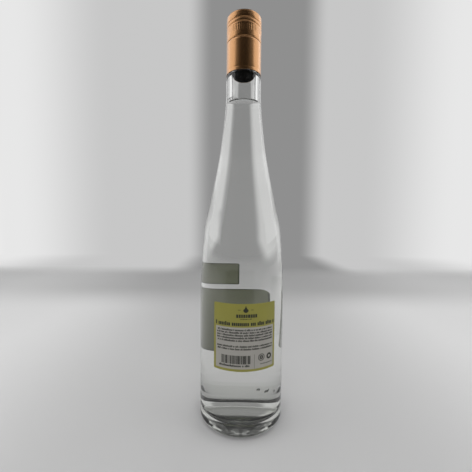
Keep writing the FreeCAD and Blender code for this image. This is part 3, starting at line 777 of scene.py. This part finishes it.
def label_sheet(
    name, width, low, high, corner, middle, materials, face_slot, back_slot, across_cuts, up_cuts
):
    """A paper sheet on the wall: a grid of u across and v up, drawn in at the rows near round corners.

    face_slot gives each front cell's material from its u and v, and back_slot each back cell's. The
    edges take slot 0. Rows and columns of points run along the cuts, where the material changes."""
    row_step, column_step, back_lift = 2.5, 1.2, glue / 5
    half = width / 2
    corner_rows = corner * (1 - np.cos(np.linspace(0, np.pi / 2, 7)))
    up = rows_with(low, high, row_step, np.concatenate([low + corner_rows, high - corner_rows, up_cuts]))
    across = rows_with(-half, half, column_step, np.concatenate([[-half, half], across_cuts]))
    depth = np.clip(corner - np.minimum(up - low, high - up), 0, corner)
    drawn_in = corner - np.sqrt(np.maximum(corner**2 - depth**2, 0))
    u = across[None] * (1 - drawn_in[:, None] / half)
    v = np.repeat(up[:, None], len(across), 1)
    grids = [on_wall(u, v, middle, lift).reshape(-1, 3) for lift in (paper_face, back_lift)]
    faces = sheet_faces(len(up), len(across))
    centre_u = (u[:-1, :-1] + u[1:, 1:]).ravel() / 2
    centre_v = (v[:-1, :-1] + v[1:, 1:]).ravel() / 2
    cells = len(centre_u)
    slots = np.zeros(len(faces), int)
    slots[:cells] = face_slot(centre_u, centre_v)
    slots[cells : 2 * cells] = back_slot(centre_u, centre_v)
    sheet = mesh_object(name, np.concatenate(grids) / MM, faces.tolist(), materials, slots, sharp=50)
    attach(sheet, "root")
    return sheet


def paper_material(name, colour, mottle=0.04, roughness=0.55):
    """Coated label paper: one colour with a faint cloudy mottle and a fine fibre relief.

    The mottle is a share of the colour, and the roughness varies with the same clouds."""
    roughness_swing = 0.05
    material, nodes, links, output = new_material(name)
    place = nodes.new("ShaderNodeTexCoord").outputs["Object"]
    cloud = noise(nodes, links, place, 90.0, detail=5.0)
    fibres = noise(nodes, links, place, 2500.0)
    tints = [np.array(colour) * (1 + shade * mottle) for shade in (-1, 1)]
    sheen = (roughness - roughness_swing, roughness + roughness_swing)
    sheet = nodes.new("ShaderNodeBsdfPrincipled")
    links.new(colour_run(nodes, links, cloud, noise_run, tints), sheet.inputs["Base Color"])
    links.new(smooth_step(nodes, links, cloud, *noise_run, *sheen), sheet.inputs["Roughness"])
    links.new(relief(nodes, links, fibres, strength=0.12, distance=0.00005), sheet.inputs["Normal"])
    links.new(sheet.outputs[0], output.inputs[0])
    return material


def boxed(name, across, width, height, tall, middle, material, lift=paper_face):
    """Flat printed blocks on the wall: each a thin closed box of its own width and height, in arrays."""
    u = across[:, None] + width[:, None] * np.array([-0.5, 0.5, 0.5, -0.5])
    v = height[:, None] + tall[:, None] * np.array([-0.5, -0.5, 0.5, 0.5])
    top = on_wall(u, v, middle, lift + ink)
    bottom = on_wall(u, v, middle, lift - ink / 2)
    points = np.concatenate([top, bottom], axis=1).reshape(-1, 3)
    sides = [[0, 1, 2, 3], [7, 6, 5, 4], [1, 0, 4, 5], [2, 1, 5, 6], [3, 2, 6, 7], [0, 3, 7, 4]]
    faces = (8 * np.arange(len(across))[:, None, None] + np.array(sides)).reshape(-1, 4)
    blocks = mesh_object(name, points / MM, faces.tolist(), [material], sharp=30)
    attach(blocks, "root")
    return blocks


def greeked_line(random, start, end, height, letter_height, letter_width):
    """Blocks in place of a line of letters: seeded widths in words of about six, some of them tall.

    Widths and gaps are shares of the letter's width, and add up along the line."""
    letter_pitch, letter_gap, word_gap, word_chance = 1.33, 0.28, 1.0, 0.17
    tall_share, tall_chance = 1.3, 0.25
    count = int((end - start) / (letter_width * letter_pitch))
    width = letter_width * random.uniform(0.8, 1.25, count)
    gap = letter_width * letter_gap + letter_width * word_gap * (random.random(count) < word_chance)
    middle = start + np.cumsum(width + gap) - width / 2
    tall = letter_height * np.where(random.random(count) < tall_chance, tall_share, 1.0)
    fits = middle < end
    return middle[fits], width[fits], height + (tall - letter_height)[fits] / 2, tall[fits]


def joined_blocks(groups):
    """Several groups of blocks as one set of arrays."""
    return [np.concatenate(column) for column in zip(*groups)]


back_bottom, back_top = (corner[2] for corner in box_mm("back_label"))
back_width, back_corner, back_middle = 54.2, 1.0, np.radians(-85.7)
back_border, head_height = 2.0, 18.9
panel_edges = [-back_width / 2 + back_border, back_width / 2 - back_border]
panel_rows = [back_bottom + back_border, back_top - head_height]


def on_back_panel(u, v):
    """Slot 1 for the pale panel and 0 for the olive head and border."""
    inside_panel = (np.abs(u) < panel_edges[1]) & (v > panel_rows[0]) & (v < panel_rows[1])
    return inside_panel.astype(int)


olive_paper = paper_material("olive_print", (0.262, 0.247, 0.048))
pale_paper = paper_material("pale_paper", (0.355, 0.342, 0.312))
paper_back = paper_material("label_paper_back", (0.16, 0.17, 0.115))
back_label = label_sheet(
    "back_label_sheet",
    back_width,
    back_bottom,
    back_top,
    back_corner,
    back_middle,
    [olive_paper, pale_paper, paper_back],
    on_back_panel,
    lambda u, v: np.full(u.shape, 2),
    panel_edges,
    panel_rows,
)
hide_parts("back_label")

# lines of text, each with its two ends, its height on the label and its letters' height and width
dark_ink = paper_material("dark_ink", (0.018, 0.019, 0.014), mottle=0.1, roughness=0.5)
letters = np.random.default_rng(11)
text_lines = [(-24.0, 24.0, row, 1.2, 0.52) for row in (33.6, 31.45, 29.3, 27.15, 25.0, 20.3, 18.1)]
text_lines += [
    (-25.4, 25.4, 38.4, 2.5, 1.15),
    (-9.5, 9.5, 45.1, 2.7, 1.5),
    (-4.4, 4.4, 42.6, 0.7, 0.35),
    (-22.0, 3.6, 4.5, 1.3, 0.8),
    (12.5, 24.0, 5.2, 0.6, 0.35),
]
text_groups = [
    greeked_line(letters, left, right, back_bottom + row, letter_height, letter_width)
    for left, right, row, letter_height, letter_width in text_lines
]
bar_count, bar_left, bar_run, bar_middle, bar_tall = 25, -20.2, 24.0, 9.6, 6.9
bar_width = letters.choice([0.35, 0.6, 0.85], bar_count)
bar_place = np.cumsum(bar_width + letters.choice([0.45, 0.7, 0.95], bar_count))
bar_place = bar_left + bar_run * (bar_place - bar_width / 2) / bar_place[-1]
bar_height = np.full(bar_count, back_bottom + bar_middle)
text_groups.append((bar_place, bar_width, bar_height, np.full(bar_count, bar_tall)))

# an upright rule, a dash on each side of the pear and the pear's stalk: place, width, height, tallness
rules = [(7.3, 0.2, 8.0, 11.5), (-5.2, 2.0, 50.0, 0.4), (5.2, 2.0, 50.0, 0.4), (0.0, 0.4, 52.9, 1.0)]
rule_place, rule_width, rule_height, rule_tall = np.transpose(rules)
text_groups.append((rule_place, rule_width, back_bottom + rule_height, rule_tall))
back_print = boxed("back_print", *joined_blocks(text_groups), back_middle, dark_ink)


def ring_points(across, height, inner, outer, turns, middle):
    """A flat printed ring: four circles of points, two at the ink's top and two at its foot."""
    angle = np.linspace(0, 2 * np.pi, turns, endpoint=False)
    circles = ((inner, ink_foot), (inner, ink_top), (outer, ink_top), (outer, ink_foot))
    return np.concatenate(
        [
            on_wall(across + size * np.cos(angle), height + size * np.sin(angle), middle, level)
            for size, level in circles
        ]
    )


def printed_rings(name, rings, middle, material, turns=40):
    """Rings of ink as one mesh. Each ring is a closed strip of four circles joined in a loop."""
    points, faces = [], []
    strip = grid_faces(4, turns, closed=True)
    closing = np.arange(turns)
    beside = (closing + 1) % turns
    foot = np.stack([3 * turns + closing, 3 * turns + beside, beside, closing], 1)
    for number, ring_sizes in enumerate(rings):
        points.append(ring_points(*ring_sizes, turns, middle))
        faces += (np.concatenate([strip, foot]) + number * 4 * turns).tolist()
    ring = mesh_object(name, np.concatenate(points) / MM, faces, [material], sharp=30)
    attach(ring, "root")
    return ring


# each ring's place across and up, and its inner and outer radius
ring_rows = (
    (13.4, back_bottom + 10.7, 2.3, 2.9),
    (13.4, back_bottom + 10.7, 0.5, 1.6),
    (20.8, back_bottom + 10.4, 1.1, 2.5),
)
back_rings = printed_rings("back_rings", ring_rows, back_middle, dark_ink)


def pear_mark(name, height, size, middle, material):
    """A printed pear on the wall, height up and size tall, as a thin closed sheet.

    Its half width is half the sine of the climb, taken in by a smooth step from belly to neck."""
    tip, belly, taken_in, neck_from, neck_run = 0.06, 0.92, 0.56, 0.35, 0.45
    climb = np.linspace(tip, np.pi - tip, 25)
    share = (1 - np.cos(climb)) / 2
    step = np.clip((share - neck_from) / neck_run, 0, 1)
    half = size * np.sin(climb) / 2 * (belly - taken_in * step * step * (3 - 2 * step))
    u = half[:, None] * np.linspace(-1, 1, 15)
    v = height + size * (share[:, None] - 0.5) + 0 * u
    grids = [on_wall(u, v, middle, level).reshape(-1, 3) for level in (ink_top, ink_foot)]
    faces = sheet_faces(*u.shape).tolist()
    mark = mesh_object(name, np.concatenate(grids) / MM, faces, [material], sharp=30)
    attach(mark, "root")
    return mark


back_pear = pear_mark("back_pear", back_bottom + 50.2, 4.8, back_middle, dark_ink)

# Front labels. The large label and the strip above it stand on the far side, one above the other on
# the same middle. Their backs show through the glass as grey green paper, their fronts are cream.
front_middle = np.radians(123.6)
cream_paper = paper_material("cream_paper", (0.62, 0.585, 0.47))
pear_green = paper_material("pear_green_print", (0.27, 0.30, 0.065))
edge_paper = paper_material("front_paper_edge", (0.075, 0.08, 0.055))


def bordered(low, high, width, border, foot, edge_slot, ground_slot):
    """The rule of a label with a border, foot deep at its bottom: edge_slot there, ground_slot inside."""

    def slot_at(u, v):
        """The border's slot where u or v lies near an edge, and the ground's elsewhere."""
        near_edge = (np.abs(u) > width / 2 - border) | (v > high - border) | (v < low + foot)
        return np.where(near_edge, edge_slot, ground_slot)

    return slot_at


# the front has a green border and foot band, and the back a dark line along its edge
edge_margin = 0.8
front_sizes = {"front_label": (74.4, 5.0, 1.6, 9.0), "strip_label": (42.5, 1.0, 1.2, 1.2)}
for label_name, (label_width, label_corner, border, band) in front_sizes.items():
    label_low, label_high = (corner[2] for corner in box_mm(label_name))
    front_sheet = label_sheet(
        label_name + "_sheet",
        label_width,
        label_low,
        label_high,
        label_corner,
        front_middle,
        [paper_back, cream_paper, pear_green, edge_paper],
        bordered(label_low, label_high, label_width, border, band, edge_slot=2, ground_slot=1),
        bordered(label_low, label_high, label_width, edge_margin, edge_margin, edge_slot=3, ground_slot=0),
        [side * (label_width / 2 - inset) for side in (-1, 1) for inset in (border, edge_margin)],
        [label_low + band, label_high - border, label_low + edge_margin, label_high - edge_margin],
    )
    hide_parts(label_name)

front_bottom = box_mm("front_label")[0][2]
strip_bottom = box_mm("strip_label")[0][2]
front_pear = pear_mark("front_pear", front_bottom + 37.0, 27.0, front_middle, pear_green)
front_lines = (
    (-22.0, 22.0, front_bottom + 17.0, 3.0, 1.7),
    (-15.0, 15.0, front_bottom + 12.4, 1.3, 0.7),
    (-16.0, 16.0, strip_bottom + 11.5, 3.2, 1.8),
    (-12.0, 12.0, strip_bottom + 6.0, 1.2, 0.7),
)
pear_stalk = [(0.0,), (0.9,), (front_bottom + 53.4,), (5.0,)]
front_groups = [greeked_line(letters, *line) for line in front_lines] + [pear_stalk]
front_print = boxed("front_print", *joined_blocks(front_groups), front_middle, dark_ink)

# Filling marks and drops. Small ink-jet dashes sit low on the near side of the glass, and small drops
# of spirit cling to the bore above the surface.
mark_degrees, mark_dots = np.array([-68.0, -55.5, -41.5, -29.0]), np.array([4, 6, 2, 5])
mark_top, mark_slant, dot_pitch, dot_lift = 41.5, 0.25, 0.8, 0.03
mark_height = mark_top - mark_slant * (mark_degrees - mark_degrees[0])
mark_across = (np.radians(mark_degrees) - back_middle) * body_radius
mark_random = np.random.default_rng(5)
dot_across = np.concatenate(
    [middle + dot_pitch * (np.arange(dots) - dots / 2) for middle, dots in zip(mark_across, mark_dots)]
)
dot_count = len(dot_across)
dot_height = np.repeat(mark_height, mark_dots) + mark_random.uniform(-0.4, 0.4, dot_count)
filling_marks = boxed(
    "filling_marks",
    dot_across,
    mark_random.uniform(0.5, 0.75, dot_count),
    dot_height,
    mark_random.uniform(1.3, 2.1, dot_count),
    back_middle,
    dark_ink,
    lift=dot_lift,
)

# each drop is a flattened dome on the bore, made of rings from just inside the glass to its crown
drop_random = np.random.default_rng(3)
drop_count, drop_sector, drop_heights, drop_sizes = 26, (-178, -122), (0.5, 2.8), (0.25, 0.6)
drop_turn = np.radians(drop_random.uniform(*drop_sector, drop_count))[:, None, None]
drop_height = fill_height + drop_random.uniform(*drop_heights, drop_count)
drop_size = drop_random.uniform(*drop_sizes, drop_count)[:, None, None]
dome_rows, dome_turns, dome_sunk, flatness = 7, 14, 0.5, 0.55
dome_up = np.linspace(-dome_sunk, np.pi / 2, dome_rows)
dome_angle = np.linspace(0, 2 * np.pi, dome_turns, endpoint=False)
dome_out = np.sin(dome_up)[:, None] + 0 * dome_angle
dome_side = np.cos(dome_up)[:, None] * np.cos(dome_angle)
dome_high = np.cos(dome_up)[:, None] * np.sin(dome_angle)
bore_at = np.interp(drop_height, inside[:, 1], inside[:, 0])[:, None, None]
drop_radius = bore_at - flatness * drop_size * dome_out
drop_angle = drop_turn + drop_size * dome_side / bore_at
drop_z = drop_height[:, None, None] + drop_size * dome_high
drop_points = np.stack([drop_radius * np.cos(drop_angle), drop_radius * np.sin(drop_angle), drop_z], 3)
per_drop = dome_rows * dome_turns
drop_crown = list(range(per_drop - dome_turns, per_drop))
drop_foot = list(range(dome_turns - 1, -1, -1))
one_drop = grid_faces(dome_rows, dome_turns, closed=True).tolist() + [drop_crown, drop_foot]
drop_faces = [
    tuple(np.array(face)[::-1] + number * per_drop) for number in range(drop_count) for face in one_drop
]
drops = mesh_object("neck_drops", drop_points.reshape(-1, 3) / MM, drop_faces, [spirit_surface])
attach(drops, "root")
